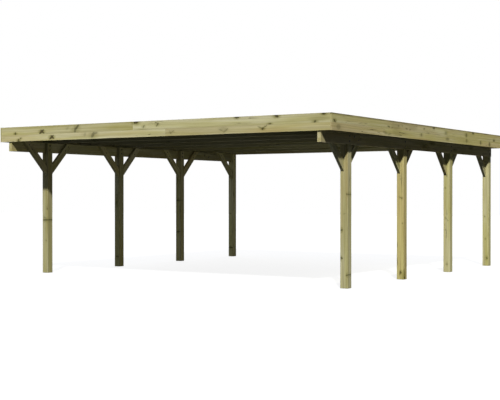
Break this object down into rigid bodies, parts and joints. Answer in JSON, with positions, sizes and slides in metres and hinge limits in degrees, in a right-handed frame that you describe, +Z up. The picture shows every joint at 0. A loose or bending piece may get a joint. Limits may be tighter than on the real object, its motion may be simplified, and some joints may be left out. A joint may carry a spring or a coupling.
{
  "type": "timber carport",
  "caption": "Open flat-roofed timber carport: rows of notched posts with knee braces carry lapped beams, rafters, a board fascia and profiled roof sheets.",
  "frame": {"origin": "on the ground below the middle of the roof", "axes": "+X to the right seen from the front, +Y to the rear, +Z up"},
  "size_m": [6, 6.515, 2.365],
  "materials": {
    "post_timber": "planed, pressure treated",
    "beam_timber": "planed, pressure treated",
    "brace_timber": "planed, pressure treated",
    "rafter_timber": "planed, pressure treated",
    "fascia_board": "planed, pressure treated",
    "roof_sheet": "satin coating",
    "fixing": "brown-black coating"
  },
  "bodies": {
    "root": {"left_post_1": "post_timber", "left_post_2": "post_timber", "left_post_3": "post_timber", "left_post_4": "post_timber", "right_post_1": "post_timber", "right_post_2": "post_timber", "right_post_3": "post_timber", "right_post_4": "post_timber", "left_beam_short": "beam_timber", "left_beam_long": "beam_timber", "right_beam_short": "beam_timber", "right_beam_long": "beam_timber", "left_brace_1_front": "brace_timber", "left_brace_1_rear": "brace_timber", "left_brace_2_front": "brace_timber", "left_brace_2_rear": "brace_timber", "left_brace_3_front": "brace_timber", "left_brace_3_rear": "brace_timber", "left_brace_4_front": "brace_timber", "right_brace_1_front": "brace_timber", "right_brace_1_rear": "brace_timber", "right_brace_2_front": "brace_timber", "right_brace_2_rear": "brace_timber", "right_brace_3_front": "brace_timber", "right_brace_3_rear": "brace_timber", "right_brace_4_front": "brace_timber", "rafter_1": "rafter_timber", "rafter_2": "rafter_timber", "rafter_3": "rafter_timber", "rafter_4": "rafter_timber", "rafter_5": "rafter_timber", "rafter_6": "rafter_timber", "rafter_7": "rafter_timber", "rafter_8": "rafter_timber", "front_fascia_lower": "fascia_board", "front_fascia_upper": "fascia_board", "rear_fascia_lower": "fascia_board", "rear_fascia_upper": "fascia_board", "left_fascia_lower": "fascia_board", "left_fascia_upper": "fascia_board", "right_fascia_lower": "fascia_board", "right_fascia_upper": "fascia_board", "roof_sheets_under": "roof_sheet", "roof_sheets_over": "roof_sheet"}
  },
  "joints": []
}
